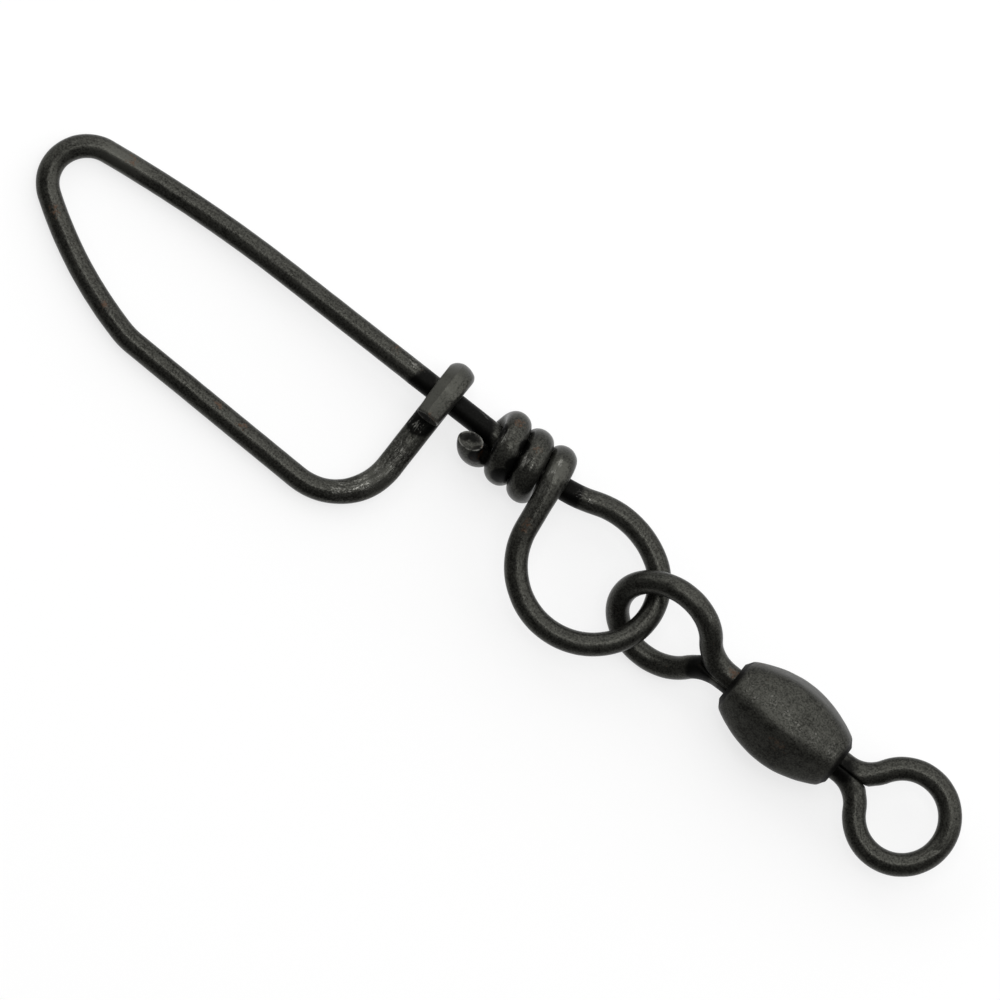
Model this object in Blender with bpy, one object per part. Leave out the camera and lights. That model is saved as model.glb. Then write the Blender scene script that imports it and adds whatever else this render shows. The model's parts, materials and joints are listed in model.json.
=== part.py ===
# Fishing snap swivel: a hand-bent wire snap whose closed loop is linked to a crane-style barrel swivel.
#
# Frame: the swivel turns about a line along +X, from the snap at -X to the line eye at +X. The part lies
# on its lowest wires at z = 0, and the origin is under the middle of its bounding box.
#
# The snap is bent from one wire, so it is drawn the way a bending bench makes it: a centre line of straight
# runs and bends, swept with a round section. Each eye is a wire too, whose legs are pressed to half-round
# shanks and headed together. The barrel is a swaged tube, closed in over both heads.

import math

import bmesh
import bpy
from mathutils import Matrix, Vector

MM = 0.001

# Snap wire: its diameter, and the clearance between strands that lie on each other
WIRE_D = 2.0 * MM
STRAND_GAP = 0.06 * MM

# Snap, from the leg round the closed end and the kinked side to the arm. Its length is measured from the
# middle of the hook to the outside of the closed end, and the straight before the front bend makes it up.
SNAP_LENGTH = 38.6 * MM
LEG_OFFSET = 3.9 * MM
LEG_BOW_RADIUS = 134.0 * MM
LEG_BOW_ANGLE = 7.9
END_TOP_RADIUS = 3.42 * MM
END_TOP_ANGLE = 68.8
END_LOW_RADIUS = 3.0 * MM
END_LOW_ANGLE = 69.0
SIDE_BOW_RADIUS = 36.1 * MM
SIDE_BOW_ANGLE = 20.5
KINK_RADIUS = 7.3 * MM
KINK_ANGLE = 12.6
FRONT_BEND_RADIUS = 5.4 * MM

# Arm and hook, pressed wider than the wire. The hook's bend stands off the leg's far side by the play. Its
# top is coined to a flat and a bevel that meet in a ridge, whose place is an angle about the wire from the
# top towards the loop.
ARM_WIDTH = 2.28 * MM
HOOK_WIDTH = 2.42 * MM
HOOK_THICKNESS = 1.8 * MM
HOOK_TIP_WIDTH = 2.0 * MM
HOOK_TIP_LENGTH = 2.3 * MM
HOOK_PLAY = 0.33 * MM
HOOK_COIN_DEPTH = 0.14 * MM
HOOK_COIN_LENGTH = 4.6 * MM
HOOK_COIN_FADE = 1.8 * MM
HOOK_FLAT_TILT = 9.0
HOOK_BEVEL_TILT = -40.0
HOOK_RIDGE_ANGLE = -22.5
PRESS_BLEND = 2.6 * MM

# Snap, from the leg round the loop to the wraps and the cut tail
LOOP_LEAD_RADIUS = 11.6 * MM
LOOP_LEAD_ANGLE = 20.7
LOOP_TOP_RADIUS = 7.87 * MM
LOOP_TOP_ANGLE = 53.0
LOOP_SIDE_RADIUS = 5.12 * MM
LOOP_SIDE_ANGLE = 92.7
LOOP_BACK_RADIUS = 6.44 * MM
CROSSING_LEAN = 7.5
WRAP_PITCH = 2.36 * MM
WRAP_TURNS = 2.835
WRAP_WIDTH = 2.28 * MM
WRAP_THICKNESS = 1.9 * MM
WRAP_PLAY = 0.23 * MM
WRAP_SAG = 0.15 * MM
WRAPS_TO_HOOK = 11.55 * MM
TAIL_FLARE = 0.42 * MM
TAIL_FLARE_ANGLE = 90.0
TAIL_CUT_DEPTH = 0.18 * MM

# Swivel eyes: wires whose legs are pressed together to an oval shank. A lean is how far the ring's middle
# stands off the shank's axis.
EYE_WIRE_D = 2.0 * MM
NECK_RADIUS = 3.4 * MM
NECK_BLEND = 0.9 * MM
SHANK_WIDTH = 2.69 * MM
SHANK_THICKNESS = 2.27 * MM
LEG_GAP = 0.12 * MM
LEG_EDGE_SHARPNESS = 5
SNAP_EYE_INSIDE_D = 6.6 * MM
SNAP_SHANK_LENGTH = 1.5 * MM
SNAP_EYE_LEAN = -0.3 * MM
SNAP_EYE_TILT = 44.4
LINE_EYE_INSIDE_D = 6.0 * MM
LINE_SHANK_LENGTH = 1.7 * MM
LINE_EYE_LEAN = -0.14 * MM
LINK_SLACK = 0.89 * MM
LINK_AXIS_TILT = 25.0
HEAD_D = 4.0 * MM
HEAD_LAND = 0.8 * MM
HEAD_CROWN = 0.5 * MM
HEAD_ROOT_D = 2.0 * MM

# Barrel, measured across its flats
BARREL_LENGTH = 10.7 * MM
BARREL_D = 7.5 * MM
BARREL_END_D = 4.7 * MM
BARREL_WALL = 0.65 * MM
RIM_ROUND = 0.35 * MM
SWAGE_FLATS = 6
SWAGE_SHARPNESS = 12
SWAGE_END_FADE = 0.6
SWAGE_ROLL = 11.0
LIP_REACH = 0.25 * MM
LIP_WIDTH = 0.14 * MM
MOUTH_CLEARANCE = 0.3 * MM
MOUTH_LAND = 0.75 * MM
SEAT_ANGLE = 40.0
SEAT_CLEARANCE = 0.3 * MM
END_PLAY = 0.4 * MM

# Fineness of the faceted surfaces
WIRE_SIDES = 16
RUN_STEP = 2.6 * MM
BEND_STEP = 12.0
WRAP_STEP = 15.0
HEAD_SIDES = 32
BARREL_SIDES = 36
BARREL_STATIONS = 10
BORE_STATIONS = 6
RIM_STATION_ANGLES = (35.0, 65.0)

# Directions in plan, in degrees from +X, and turns
ACROSS = 90.0
BACK = 180.0
HALF_TURN = 180.0
FULL_TURN = 360.0

wire_r = WIRE_D / 2
hook_r = wire_r + STRAND_GAP + HOOK_THICKNESS / 2
wrap_r = wire_r + WRAP_PLAY + WRAP_THICKNESS / 2
leg_height = wrap_r + WRAP_THICKNESS / 2
eye_wire_r = EYE_WIRE_D / 2
shank_r = SHANK_WIDTH / 2
shank_y = shank_r - eye_wire_r
mouth_r = shank_r + MOUTH_CLEARANCE
seat_x = BARREL_LENGTH / 2 + LIP_REACH - MOUTH_LAND
seat_slope = math.tan(math.radians(SEAT_ANGLE))
shoulder_x = seat_x - (SEAT_CLEARANCE / math.cos(math.radians(SEAT_ANGLE)) - MOUTH_CLEARANCE) / seat_slope


def ease(share):
    """Goes from 0 to 1 and leaves both ends level."""
    share = min(max(share, 0.0), 1.0)
    return share * share * (3 - 2 * share)


class Bench:
    """Walks a wire's centre line through straight runs and bends, flat in plan. Left turns are positive."""

    def __init__(self, place, heading):
        self.place = Vector((place[0], place[1], 0.0))
        self.heading = math.radians(heading)
        self.line = [self.place.copy()]

    def ahead(self):
        return Vector((math.cos(self.heading), math.sin(self.heading), 0.0))

    def run(self, length):
        steps = max(1, math.ceil(length / RUN_STEP))
        start = self.place.copy()
        for step in range(1, steps + 1):
            self.line.append(start + self.ahead() * (length * step / steps))
        self.place = self.line[-1].copy()

    def run_to_x(self, x):
        self.run((x - self.place.x) / math.cos(self.heading))

    def run_to_y(self, y):
        self.run((y - self.place.y) / math.sin(self.heading))

    def bend(self, radius, angle):
        arc = radius * math.radians(abs(angle))
        steps = max(1, math.ceil(abs(angle) / BEND_STEP), math.ceil(arc / RUN_STEP))
        side = math.copysign(1.0, angle)
        left = Vector((-math.sin(self.heading), math.cos(self.heading), 0.0))
        middle = self.place + left * (side * radius)
        spoke = self.place - middle
        for step in range(1, steps + 1):
            turn = Matrix.Rotation(math.radians(angle) * step / steps, 3, "Z")
            self.line.append(middle + turn @ spoke)
        self.place = self.line[-1].copy()
        self.heading += math.radians(angle)

    def bend_to(self, radius, heading):
        self.bend(radius, heading - math.degrees(self.heading))


def distances(line):
    """Distance of each point from the start of its line."""
    travelled = [0.0]
    for before, after in zip(line, line[1:]):
        travelled.append(travelled[-1] + (after - before).length)
    return travelled


def lift(line, start_height, end_height):
    """Raises a flat line from one height to another along its length."""
    travelled = distances(line)
    for point, distance in zip(line, travelled):
        point.z = start_height + (end_height - start_height) * ease(distance / travelled[-1])


def shifted(line, x):
    return [point + Vector((x, 0.0, 0.0)) for point in line]


def blended(line, values, reach):
    """Evens out values along a line, each over its neighbours within reach."""
    travelled = distances(line)
    result = []
    for here in travelled:
        weights = [max(0.0, 1 - abs(there - here) / reach) for there in travelled]
        result.append(sum(weight * value for weight, value in zip(weights, values)) / sum(weights))
    return result


def loop_line():
    """The loop, from the leg at x = 0 round to where it crosses over the leg, ready to wrap it."""
    bench = Bench((0.0, LEG_OFFSET), 0.0)
    bench.bend(LOOP_LEAD_RADIUS, LOOP_LEAD_ANGLE)
    bench.bend(LOOP_TOP_RADIUS, -LOOP_TOP_ANGLE)
    bench.bend(LOOP_SIDE_RADIUS, -LOOP_SIDE_ANGLE)
    bench.bend_to(LOOP_BACK_RADIUS, ACROSS + CROSSING_LEAN - FULL_TURN)
    bench.run_to_y(LEG_OFFSET)
    lift(bench.line, leg_height, leg_height + wrap_r)
    return bench.line


def wrap_line(start_x):
    """The wraps, from over the leg at start_x, winding away from the loop to the flared tail."""
    line = []
    inward = []
    steps = round(WRAP_TURNS * FULL_TURN / WRAP_STEP)
    flare_steps = round(TAIL_FLARE_ANGLE / WRAP_STEP)
    for step in range(1, steps + 1):
        turned = step * WRAP_STEP
        angle = math.radians(turned)
        sag = WRAP_SAG * ease(turned / HALF_TURN)
        flare = TAIL_FLARE * ease((step - steps + flare_steps) / flare_steps)
        radial = Vector((0.0, math.sin(angle), math.cos(angle)))
        middle = Vector((start_x - WRAP_PITCH * turned / FULL_TURN - flare, LEG_OFFSET - sag, leg_height))
        line.append(middle + radial * wrap_r)
        inward.append(-radial)
    return line, inward


def side_line():
    """The snap's open side, from the leg at x = 0 round the closed end, along the side and up the arm."""
    bench = Bench((0.0, LEG_OFFSET), BACK)
    bench.bend(LEG_BOW_RADIUS, LEG_BOW_ANGLE)
    bow_points = len(bench.line)
    bench.bend(END_TOP_RADIUS, END_TOP_ANGLE)
    bench.bend(END_LOW_RADIUS, END_LOW_ANGLE)
    closed_x = min(point.x for point in bench.line) - wire_r
    bench.bend(SIDE_BOW_RADIUS, SIDE_BOW_ANGLE)
    bench.bend(KINK_RADIUS, KINK_ANGLE)
    bench.run_to_x(closed_x + SNAP_LENGTH - FRONT_BEND_RADIUS * (1 - math.sin(bench.heading)))
    straight_points = len(bench.line)
    bench.bend_to(FRONT_BEND_RADIUS, ACROSS + FULL_TURN)
    bench.run_to_y(LEG_OFFSET + HOOK_PLAY)
    return bench.line, bow_points, straight_points


def hook_line(x):
    """The hook, from under the leg round its far side and back over it to the cut tip."""
    line = []
    middle_y = LEG_OFFSET + HOOK_PLAY
    steps = round(HALF_TURN / BEND_STEP)
    for step in range(1, steps + 1):
        angle = math.radians(HALF_TURN * step / steps - ACROSS)
        line.append(Vector((x, middle_y + hook_r * math.cos(angle), leg_height + hook_r * math.sin(angle))))
    line.append(line[-1] + Vector((0.0, -HOOK_PLAY - HOOK_TIP_LENGTH, 0.0)))
    return line


def snap_line(crossing_x):
    """The whole snap wire from the hook's tip to the tail, whose loop crosses the leg at crossing_x.

    Beside each point of the line stand the wire's width and thickness there and, on the wraps, the
    direction that its thickness is measured along.
    """
    loop = loop_line()
    loop = shifted(loop, crossing_x - loop[-1].x)
    hook_x = crossing_x - WRAPS_TO_HOOK
    side, bow_points, straight_points = side_line()
    side = shifted(side, hook_x - side[-1].x)
    leg = Bench((hook_x, LEG_OFFSET), BACK)
    leg.run(hook_x - side[0].x)
    falling = leg.line + side[1:bow_points]
    lift(falling, leg_height, wire_r)
    resting = side[bow_points:]
    lift(resting, wire_r, leg_height - hook_r)
    core = Bench((hook_x, LEG_OFFSET), 0.0)
    core.run(loop[0].x - hook_x)
    lift(core.line, leg_height, leg_height)
    hook = hook_line(hook_x)
    wraps, inward = wrap_line(crossing_x)

    arm_points = (len(side) - straight_points) // 2
    round_points = len(falling) + len(resting) - arm_points + len(core.line) + len(loop) - 3
    widths = [HOOK_TIP_WIDTH] + [HOOK_WIDTH] * (len(hook) - 1) + [ARM_WIDTH] * arm_points
    widths += [WIRE_D] * round_points + [WRAP_WIDTH] * (len(wraps) + 1)
    depths = [HOOK_THICKNESS] * len(hook) + [WIRE_D ** 2 / ARM_WIDTH] * arm_points
    depths += [WIRE_D] * round_points + [WRAP_THICKNESS] * (len(wraps) + 1)
    line = (falling + resting + hook)[::-1] + core.line[1:] + loop[1:] + wraps
    facing = [None] * (len(line) - len(wraps)) + inward
    return line, blended(line, widths, PRESS_BLEND), blended(line, depths, PRESS_BLEND), facing


def eye_line(inside_d, shank_length, lean):
    """An eye's wire in its own plane, from the head's shoulder at x = 0 out along +X, round and back."""
    ring_r = (inside_d + EYE_WIRE_D) / 2
    reach = ring_r + NECK_RADIUS
    aside = shank_y + NECK_RADIUS
    ring_x = shank_length + math.sqrt(reach ** 2 - aside ** 2)
    first_turn = math.degrees(math.acos((aside - lean) / reach))
    last_turn = math.degrees(math.acos((aside + lean) / reach))
    bench = Bench((0.0, shank_y), 0.0)
    bench.run_to_x(ring_x - reach * math.sin(math.radians(first_turn)))
    bench.bend(NECK_RADIUS, first_turn)
    bench.bend(ring_r, -first_turn - HALF_TURN - last_turn)
    bench.bend(NECK_RADIUS, last_turn)
    bench.run_to_x(0.0)
    return bench.line, ring_x


def eye_reach(inside_d, shank_length):
    """Distance from the head's shoulder to the inside of the eye's far end."""
    return eye_line(inside_d, shank_length, 0.0)[1] + inside_d / 2


def oval(depth, width, angle):
    """Radius of an oval at an angle from the direction that its depth is measured along."""
    return depth * width / 2 / math.hypot(width * math.cos(angle), depth * math.sin(angle))


def shank_radius(angle):
    """Radius of the oval shank, seen from the middle of one of its legs. Angle 0 points outwards."""
    width = shank_r ** 2
    depth = (SHANK_THICKNESS / 2) ** 2
    square = math.cos(angle) ** 2 / width + math.sin(angle) ** 2 / depth
    slope = shank_y * math.cos(angle) / width
    return (math.sqrt(slope ** 2 - square * (shank_y ** 2 / width - 1)) - slope) / square


def sweep(line, first_normal, outline, facing=None, tail_cut=0.0):
    """Sweeps a closed outline along a line. outline(index, angle, reach) gives its radius that way."""
    mesh = bmesh.new()
    rings = []
    tangents = []
    normal = Vector(first_normal)
    for index, point in enumerate(line):
        tangent = (line[min(index + 1, len(line) - 1)] - line[max(index - 1, 0)]).normalized()
        if facing and facing[index]:
            normal = facing[index]
        normal = (normal - tangent * normal.dot(tangent)).normalized()
        across = tangent.cross(normal)
        tangents.append(tangent)
        ring = []
        for side in range(WIRE_SIDES):
            angle = 2 * math.pi * side / WIRE_SIDES
            reach = normal * math.cos(angle) + across * math.sin(angle)
            ring.append(mesh.verts.new(point + reach * outline(index, angle, reach)))
        rings.append(ring)
    for near, far in zip(rings, rings[1:]):
        for side in range(WIRE_SIDES):
            following = (side + 1) % WIRE_SIDES
            mesh.faces.new((near[side], near[following], far[following], far[side]))
    mesh.faces.new(rings[0][::-1])
    if tail_cut == 0:
        mesh.faces.new(rings[-1])
    else:
        nip_off(mesh, rings[-1], line[-1], tangents[-1], tail_cut)
    return mesh


def nip_off(mesh, ring, middle, outward, cut_depth):
    """Closes a wire's end, cut off level and nipped to a ridge that lies as near as it can along X."""
    for vertex in ring:
        vertex.co -= outward * ((vertex.co.z - middle.z) / outward.z)
    half = len(ring) // 2
    first = max(range(half), key=lambda index: abs(ring[index].co.x - middle.x))
    ring = ring[first:] + ring[:first]
    ridge = (ring[0].co - ring[half].co).normalized()
    for vertex in ring:
        reach = vertex.co - middle
        beside = (reach - ridge * reach.dot(ridge)).length
        vertex.co -= outward * (cut_depth * beside / wire_r)
    mesh.faces.new(ring[:half + 1])
    mesh.faces.new(ring[half:] + ring[:1])


def turned(profile, sides):
    """Revolves an open profile of (x, radius) points about the X axis, closed by a flat at each end."""
    mesh = bmesh.new()
    rings = []
    for x, radius in profile:
        ring = []
        for side in range(sides):
            angle = 2 * math.pi * side / sides
            ring.append(mesh.verts.new((x, radius * math.cos(angle), radius * math.sin(angle))))
        rings.append(ring)
    for near, far in zip(rings, rings[1:]):
        for side in range(sides):
            following = (side + 1) % sides
            mesh.faces.new((near[side], near[following], far[following], far[side]))
    mesh.faces.new(rings[0][::-1])
    mesh.faces.new(rings[-1])
    return mesh


def swage(angle):
    """How far the swaged outline stands out at an angle from the top, as a share of its flats' radius."""
    total = 0.0
    for flat in range(SWAGE_FLATS):
        facing = math.radians(SWAGE_ROLL + FULL_TURN * (flat + 0.5) / SWAGE_FLATS)
        total += max(0.0, math.cos(angle - facing)) ** SWAGE_SHARPNESS
    return total ** (-1 / SWAGE_SHARPNESS)


def barrel_radius(x):
    """The barrel's bulged profile: one arc through both ends and the middle."""
    half = BARREL_LENGTH / 2
    sag = (BARREL_D - BARREL_END_D) / 2
    bulge = (half ** 2 + sag ** 2) / (2 * sag)
    return BARREL_D / 2 - bulge + math.sqrt(bulge ** 2 - x ** 2)


def rim_drop(x):
    """How far the rounding of the rim takes the outside in from the bulged profile."""
    into_rim = abs(x) - (BARREL_LENGTH / 2 - RIM_ROUND)
    if into_rim <= 0:
        return 0.0
    return RIM_ROUND - math.sqrt(RIM_ROUND ** 2 - min(into_rim, RIM_ROUND) ** 2)


def barrel_bore(x):
    """The bore's radius: a seat cone at each end that runs into a wall of even thickness."""
    cone = mouth_r + seat_slope * (seat_x - abs(x))
    return min(cone, barrel_radius(x) - BARREL_WALL)


def seat_end():
    """Where the seat cone runs into the bore's wall, found by halving the span that holds it."""
    near = 0.0
    far = seat_x
    for _ in range(30):
        middle = (near + far) / 2
        if barrel_bore(middle) < barrel_radius(middle) - BARREL_WALL:
            far = middle
        else:
            near = middle
    return near


def barrel_mesh():
    """The swaged shell, as one surface from end to end outside and back through the bore."""
    half = BARREL_LENGTH / 2
    lip_x = half + LIP_REACH
    straight = half - RIM_ROUND
    rim = [straight + RIM_ROUND * math.sin(math.radians(angle)) for angle in RIM_STATION_ANGLES]
    stations = [straight * (2 * step / BARREL_STATIONS - 1) for step in range(BARREL_STATIONS + 1)]
    outside = [(-lip_x, mouth_r + LIP_WIDTH, 0.0)]
    for x in [-x for x in reversed(rim)] + stations + rim:
        outside.append((x, barrel_radius(x) - rim_drop(x), 1 - SWAGE_END_FADE * (x / half) ** 2))
    outside.append((lip_x, mouth_r + LIP_WIDTH, 0.0))
    wall_x = seat_end()
    bore = [(lip_x - LIP_WIDTH, mouth_r, 0.0), (seat_x, mouth_r, 0.0)]
    for step in range(BORE_STATIONS + 1):
        x = wall_x * (1 - 2 * step / BORE_STATIONS)
        bore.append((x, barrel_bore(x), 0.0))
    bore.extend([(-seat_x, mouth_r, 0.0), (LIP_WIDTH - lip_x, mouth_r, 0.0)])
    mesh = bmesh.new()
    rings = []
    for x, radius, swaged in outside + bore:
        ring = []
        for side in range(BARREL_SIDES):
            angle = math.radians(SWAGE_ROLL) + 2 * math.pi * side / BARREL_SIDES
            reach = radius * swage(angle) ** swaged
            ring.append(mesh.verts.new((x, -reach * math.sin(angle), reach * math.cos(angle))))
        rings.append(ring)
    for near, far in zip(rings, rings[1:] + rings[:1]):
        for side in range(BARREL_SIDES):
            following = (side + 1) % BARREL_SIDES
            mesh.faces.new((near[side], near[following], far[following], far[side]))
    return mesh


def dark_oxide(name, colour, roughness):
    material = bpy.data.materials.new(name)
    material.use_nodes = True
    surface = material.node_tree.nodes["Principled BSDF"]
    surface.inputs["Base Color"].default_value = (*colour, 1.0)
    surface.inputs["Metallic"].default_value = 0.85
    surface.inputs["Roughness"].default_value = roughness
    material.diffuse_color = (*colour, 1.0)
    return material


def add_object(name, mesh, material=None):
    """Makes an object from a bmesh, smooth apart from its sharp edges."""
    bmesh.ops.recalc_face_normals(mesh, faces=mesh.faces)
    data = bpy.data.meshes.new(name)
    mesh.to_mesh(data)
    mesh.free()
    data.shade_smooth()
    data.set_sharp_from_angle(angle=math.radians(40))
    if material is not None:
        data.materials.append(material)
    piece = bpy.data.objects.new(name, data)
    bpy.context.collection.objects.link(piece)
    return piece


def coined(depth, angle):
    """Radius of the hook's coined top, whose flat and bevel meet in a ridge. Angle 0 points straight up."""
    ridge = math.radians(HOOK_RIDGE_ANGLE)
    flat = math.radians(HOOK_FLAT_TILT)
    bevel = math.radians(HOOK_BEVEL_TILT)
    side = flat if angle >= ridge else bevel
    share = math.cos(angle - side)
    if share <= 0:
        return depth
    return depth * math.cos(ridge - side) / share


def make_snap(crossing_x):
    """The bent snap wire, with the coined top that the forming tool leaves on its hook."""
    line, widths, depths, facing = snap_line(crossing_x)
    travelled = distances(line)

    def outline(index, angle, reach):
        radius = oval(depths[index], widths[index], angle)
        held = 1 - ease((travelled[index] - HOOK_COIN_LENGTH) / HOOK_COIN_FADE)
        if held == 0:
            return radius
        signed = angle - 2 * math.pi if angle > math.pi else angle
        top = coined(depths[index] / 2 - HOOK_COIN_DEPTH / 2, signed)
        return radius + (min(radius, top) - radius) * held

    mesh = sweep(line, (0.0, 0.0, 1.0), outline, facing, TAIL_CUT_DEPTH)
    return add_object("snap_wire", mesh, dark_oxide("snap_black_oxide", (0.052, 0.049, 0.042), 0.5))


def make_eye(name, inside_d, shank_length, lean, material):
    """One eye: the pressed and rounded wire, joined to the head that was upset from its two ends."""
    line, ring_x = eye_line(inside_d, shank_length, lean)

    def outline(index, angle, reach):
        point = line[index]
        if point.x > ring_x:
            return eye_wire_r
        aside = abs(point.y)
        pressed = 1 - ease((aside - shank_y) / NECK_BLEND)
        radius = eye_wire_r + (shank_radius(angle) - eye_wire_r) * pressed
        if point.y * reach.y >= 0:
            return radius
        to_other_leg = (aside - LEG_GAP / 2) / abs(reach.y)
        sharpness = LEG_EDGE_SHARPNESS
        return (radius ** -sharpness + to_other_leg ** -sharpness) ** (-1 / sharpness)

    line[0].x -= HEAD_LAND
    line[-1].x -= HEAD_LAND
    eye = add_object(name, sweep(line, (0.0, 1.0, 0.0), outline), material)
    cone = (HEAD_D / 2 - shank_r) / seat_slope
    root_r = HEAD_ROOT_D / 2
    profile = (
        (-cone - HEAD_LAND - HEAD_CROWN, HEAD_D / 2 - HEAD_CROWN),
        (-cone - HEAD_LAND, HEAD_D / 2),
        (-cone, HEAD_D / 2),
        ((shank_r - root_r) / seat_slope, root_r),
    )
    head = add_object(name + "_head_blank", turned(profile, HEAD_SIDES))
    head.parent = eye
    head.hide_render = True
    head.display_type = "WIRE"
    upset = eye.modifiers.new("Upset head", "BOOLEAN")
    upset.operation = "UNION"
    upset.solver = "EXACT"
    upset.object = head
    return eye


def add_pivot(name, parent, place):
    pivot = bpy.data.objects.new(name, None)
    pivot.empty_display_size = 3 * MM
    pivot.parent = parent
    pivot.location = place
    bpy.context.collection.objects.link(pivot)
    return pivot


def link_point():
    """The loop's outermost point, which the snap-side eye turns about, with the loop's leg at x = 0."""
    return max(loop_line(), key=lambda point: point.x)


def centre_over_floor(root):
    """Moves the whole part so that the origin is under the middle of its bounding box."""
    bpy.context.view_layer.update()
    corners = []
    for piece in bpy.context.scene.objects:
        if piece.type == "MESH" and not piece.hide_render:
            corners.extend(piece.matrix_world @ vertex.co for vertex in piece.data.vertices)
    for axis in (0, 1):
        values = [corner[axis] for corner in corners]
        root.location[axis] -= (min(values) + max(values)) / 2


def main():
    for old in list(bpy.data.objects):
        bpy.data.objects.remove(old, do_unlink=True)
    eye_oxide = dark_oxide("eye_black_oxide", (0.046, 0.044, 0.039), 0.45)
    line_eye_oxide = dark_oxide("line_eye_black_oxide", (0.05, 0.048, 0.042), 0.45)
    barrel_oxide = dark_oxide("barrel_black_oxide", (0.058, 0.056, 0.05), 0.55)

    # The barrel lies on the floor at x = 0, and the snap's loop hangs in the eye that faces -X
    barrel = add_object("swivel_barrel", barrel_mesh(), barrel_oxide)
    axis_height = -min(vertex.co.z for vertex in barrel.data.vertices)
    link = link_point()
    eye_end_x = -shoulder_x - eye_reach(SNAP_EYE_INSIDE_D, SNAP_SHANK_LENGTH)
    link_x = eye_end_x + LINK_SLACK + wire_r
    loop = loop_line()
    snap = make_snap(link_x - link.x + loop[-1].x)

    link_pivot = add_pivot("link_pivot", snap, (link_x, link.y, link.z))
    link_pivot.rotation_euler = (math.radians(-LINK_AXIS_TILT), 0.0, 0.0)
    swivel_pivot = add_pivot("swivel_pivot", link_pivot, (0.0, 0.0, 0.0))
    untilt = Matrix.Rotation(math.radians(LINK_AXIS_TILT), 4, "X")
    swivel_pivot.matrix_local = untilt @ Matrix.Translation((-link_x, -link.y, axis_height - link.z))

    snap_eye_sizes = (SNAP_EYE_INSIDE_D, SNAP_SHANK_LENGTH, SNAP_EYE_LEAN)
    snap_eye = make_eye("snap_side_eye", *snap_eye_sizes, eye_oxide)
    snap_eye.parent = swivel_pivot
    snap_eye.location = (-shoulder_x, 0.0, 0.0)
    snap_eye.rotation_euler = (math.radians(-SNAP_EYE_TILT), 0.0, math.pi)

    barrel.parent = swivel_pivot
    line_eye_sizes = (LINE_EYE_INSIDE_D, LINE_SHANK_LENGTH, LINE_EYE_LEAN)
    line_eye = make_eye("line_side_eye", *line_eye_sizes, line_eye_oxide)
    line_eye.parent = barrel
    line_eye.location = (shoulder_x - END_PLAY, 0.0, 0.0)

    centre_over_floor(snap)


main()
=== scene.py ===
import json
import math

import bmesh
import bpy
from mathutils import Matrix, Vector

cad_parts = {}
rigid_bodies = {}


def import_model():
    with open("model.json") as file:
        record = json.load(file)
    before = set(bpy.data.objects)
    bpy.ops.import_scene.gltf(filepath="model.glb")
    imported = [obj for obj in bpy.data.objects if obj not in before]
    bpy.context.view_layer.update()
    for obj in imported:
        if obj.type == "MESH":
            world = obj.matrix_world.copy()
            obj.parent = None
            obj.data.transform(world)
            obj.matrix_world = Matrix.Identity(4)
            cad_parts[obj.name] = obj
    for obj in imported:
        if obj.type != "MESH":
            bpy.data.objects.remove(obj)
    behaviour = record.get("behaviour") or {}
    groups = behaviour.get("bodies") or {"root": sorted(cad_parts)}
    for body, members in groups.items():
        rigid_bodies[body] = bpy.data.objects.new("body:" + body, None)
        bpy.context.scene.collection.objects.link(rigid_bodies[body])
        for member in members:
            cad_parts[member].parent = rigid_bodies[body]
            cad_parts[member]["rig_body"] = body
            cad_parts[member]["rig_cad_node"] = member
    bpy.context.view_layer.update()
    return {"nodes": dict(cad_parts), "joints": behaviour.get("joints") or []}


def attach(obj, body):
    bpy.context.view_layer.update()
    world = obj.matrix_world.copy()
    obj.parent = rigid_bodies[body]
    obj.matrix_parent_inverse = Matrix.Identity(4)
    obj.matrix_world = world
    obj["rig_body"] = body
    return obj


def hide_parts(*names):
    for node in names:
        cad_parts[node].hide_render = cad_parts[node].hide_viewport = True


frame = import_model()
mm = 0.001


# small helpers for modelling

# a distance in millimetres, and angles in degrees
skin = {"mergeWithin": 0.002, "quadAngle": 40.0, "smoothAngle": 38.0}


def selectOnly(piece):
    bpy.ops.object.select_all(action="DESELECT")
    piece.select_set(True)
    bpy.context.view_layer.objects.active = piece


def applyModifier(piece, kind, settings):
    selectOnly(piece)
    modifier = piece.modifiers.new(kind, kind)
    for name, value in settings.items():
        setattr(modifier, name, value)
    bpy.ops.object.modifier_apply(modifier=modifier.name)


def pieceFromNode(node, pieceName):
    # a copy of the node's triangles, merged into one skin that can be shaped
    selectOnly(frame["nodes"][node])
    bpy.ops.object.duplicate(linked=False)
    piece = bpy.context.view_layer.objects.active
    piece.name = pieceName
    piece.data.name = pieceName
    piece.parent = None
    piece.matrix_world = Matrix.Identity(4)
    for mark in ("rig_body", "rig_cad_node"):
        if mark in piece:
            del piece[mark]
    piece.data.materials.clear()
    bpy.ops.object.mode_set(mode="EDIT")
    bpy.ops.mesh.select_all(action="SELECT")
    bpy.ops.mesh.remove_doubles(threshold=skin["mergeWithin"] * mm)
    quadAngle = math.radians(skin["quadAngle"])
    bpy.ops.mesh.tris_convert_to_quads(face_threshold=quadAngle, shape_threshold=quadAngle)
    bpy.ops.object.mode_set(mode="OBJECT")
    bpy.ops.mesh.customdata_custom_splitnormals_clear()
    return piece


def ease(share):
    share = min(max(share, 0.0), 1.0)
    return share * share * (3 - 2 * share)


fineSteps = (4.0, 0.3)  # degrees round a bend, and millimetres along a run


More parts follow.
